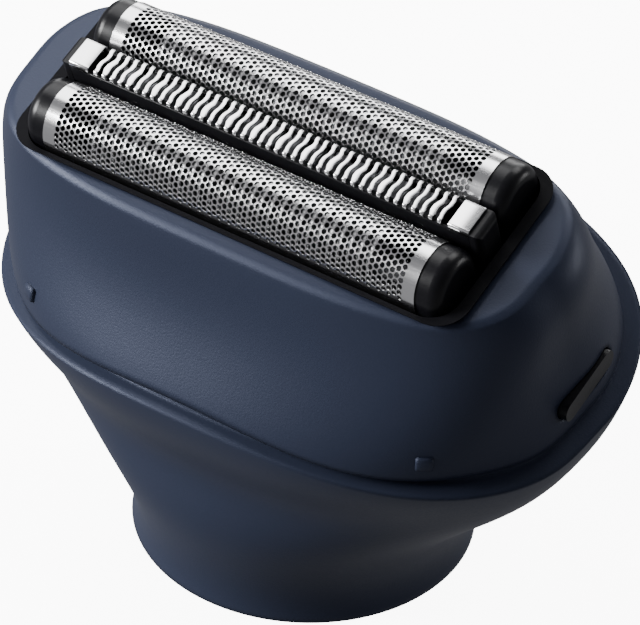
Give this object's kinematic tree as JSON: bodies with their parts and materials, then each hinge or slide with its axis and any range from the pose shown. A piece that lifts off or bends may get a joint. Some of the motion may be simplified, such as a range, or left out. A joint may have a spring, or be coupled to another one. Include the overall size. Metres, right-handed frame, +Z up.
{
  "type": "shaver foil head",
  "caption": "Leaning electric shaver head with arched perforated foils, a slotted middle blade, sprung foils and a round neck socket for a handle.",
  "frame": {"origin": "centre of the neck's open bottom end", "axes": "+Z up the neck, +X along the foils, -Y to the front, where the head leans"},
  "size_m": [0.0636, 0.0383, 0.0505],
  "materials": {
    "navy_plastic": "satin",
    "black_plastic": "gloss",
    "foil_steel": "satin",
    "blade_steel": "satin",
    "drive_plastic": "matte",
    "chassis_plastic": "matte",
    "screw_steel": "satin",
    "bush_brass": "satin",
    "button_black": "satin"
  },
  "bodies": {
    "housing": {"lower_body": "navy_plastic", "head_frame": "navy_plastic", "cassette_frame": "black_plastic", "chassis": "chassis_plastic", "chassis_screws": "screw_steel", "spindle_bush": "bush_brass"},
    "front_foil_unit": {"front_foil": "foil_steel", "front_cap_left": "black_plastic", "front_cap_right": "black_plastic"},
    "rear_foil_unit": {"rear_foil": "foil_steel", "rear_cap_left": "black_plastic", "rear_cap_right": "black_plastic"},
    "slit_unit": {"slit_blade": "foil_steel", "slit_block_left": "black_plastic", "slit_block_right": "black_plastic"},
    "slit_comb": {"slit_cutter": "blade_steel"},
    "front_carriage": {"front_drive": "drive_plastic", "front_spring": "blade_steel"},
    "rear_carriage": {"rear_drive": "drive_plastic", "rear_spring": "blade_steel"},
    "front_cutter": {"front_cutter_base": "drive_plastic", "front_cutter_blades": "blade_steel"},
    "rear_cutter": {"rear_cutter_base": "drive_plastic", "rear_cutter_blades": "blade_steel"},
    "spindle": {"drive_spindle": "drive_plastic"},
    "button_l": {"button_left": "button_black"},
    "button_r": {"button_right": "button_black"}
  },
  "joints": [
    {"name": "drive_spindle_spin", "type": "hinge", "parent": "housing", "child": "spindle", "pos_m": [0, 0, 0.02], "axis": [0, 0, 1], "continuous": true},
    {"name": "front_carriage_slide", "type": "slide", "parent": "housing", "child": "front_carriage", "axis": [1, 0, 0], "range_m": [-0.0012, 0.0012]},
    {"name": "rear_carriage_slide", "type": "slide", "parent": "housing", "child": "rear_carriage", "axis": [1, 0, 0], "range_m": [-0.0012, 0.0012]},
    {"name": "front_foil_float", "type": "slide", "parent": "housing", "child": "front_foil_unit", "axis": [0, 0.342, -0.9397], "range_m": [0, 0.0015], "stiffness_N_per_m": 300, "springref_m": -0.0015},
    {"name": "rear_foil_float", "type": "slide", "parent": "housing", "child": "rear_foil_unit", "axis": [0, 0.342, -0.9397], "range_m": [0, 0.0015], "stiffness_N_per_m": 300, "springref_m": -0.0015},
    {"name": "slit_float", "type": "slide", "parent": "housing", "child": "slit_unit", "axis": [0, 0.342, -0.9397], "range_m": [0, 0.0015], "stiffness_N_per_m": 300, "springref_m": -0.0015},
    {"name": "slit_comb_slide", "type": "slide", "parent": "slit_unit", "child": "slit_comb", "axis": [1, 0, 0], "range_m": [-0.0012, 0.0012]},
    {"name": "front_cutter_dip", "type": "slide", "parent": "front_carriage", "child": "front_cutter", "axis": [0, 0.342, -0.9397], "range_m": [0, 0.0015], "stiffness_N_per_m": 300, "springref_m": -0.0015},
    {"name": "rear_cutter_dip", "type": "slide", "parent": "rear_carriage", "child": "rear_cutter", "axis": [0, 0.342, -0.9397], "range_m": [0, 0.0015], "stiffness_N_per_m": 300, "springref_m": -0.0015},
    {"name": "button_left_press", "type": "slide", "parent": "housing", "child": "button_l", "axis": [1, 0, 0], "range_m": [0, 0.0012], "stiffness_N_per_m": 800, "springref_m": -0.0005},
    {"name": "button_right_press", "type": "slide", "parent": "housing", "child": "button_r", "axis": [-1, 0, 0], "range_m": [0, 0.0012], "stiffness_N_per_m": 800, "springref_m": -0.0005}
  ],
  "couplings": [
    {"joint": "rear_carriage_slide", "follows": "front_carriage_slide", "ratio": -1},
    {"joint": "slit_comb_slide", "follows": "front_carriage_slide", "ratio": 1},
    {"joint": "front_cutter_dip", "follows": "front_foil_float", "ratio": 1},
    {"joint": "rear_cutter_dip", "follows": "rear_foil_float", "ratio": 1}
  ]
}
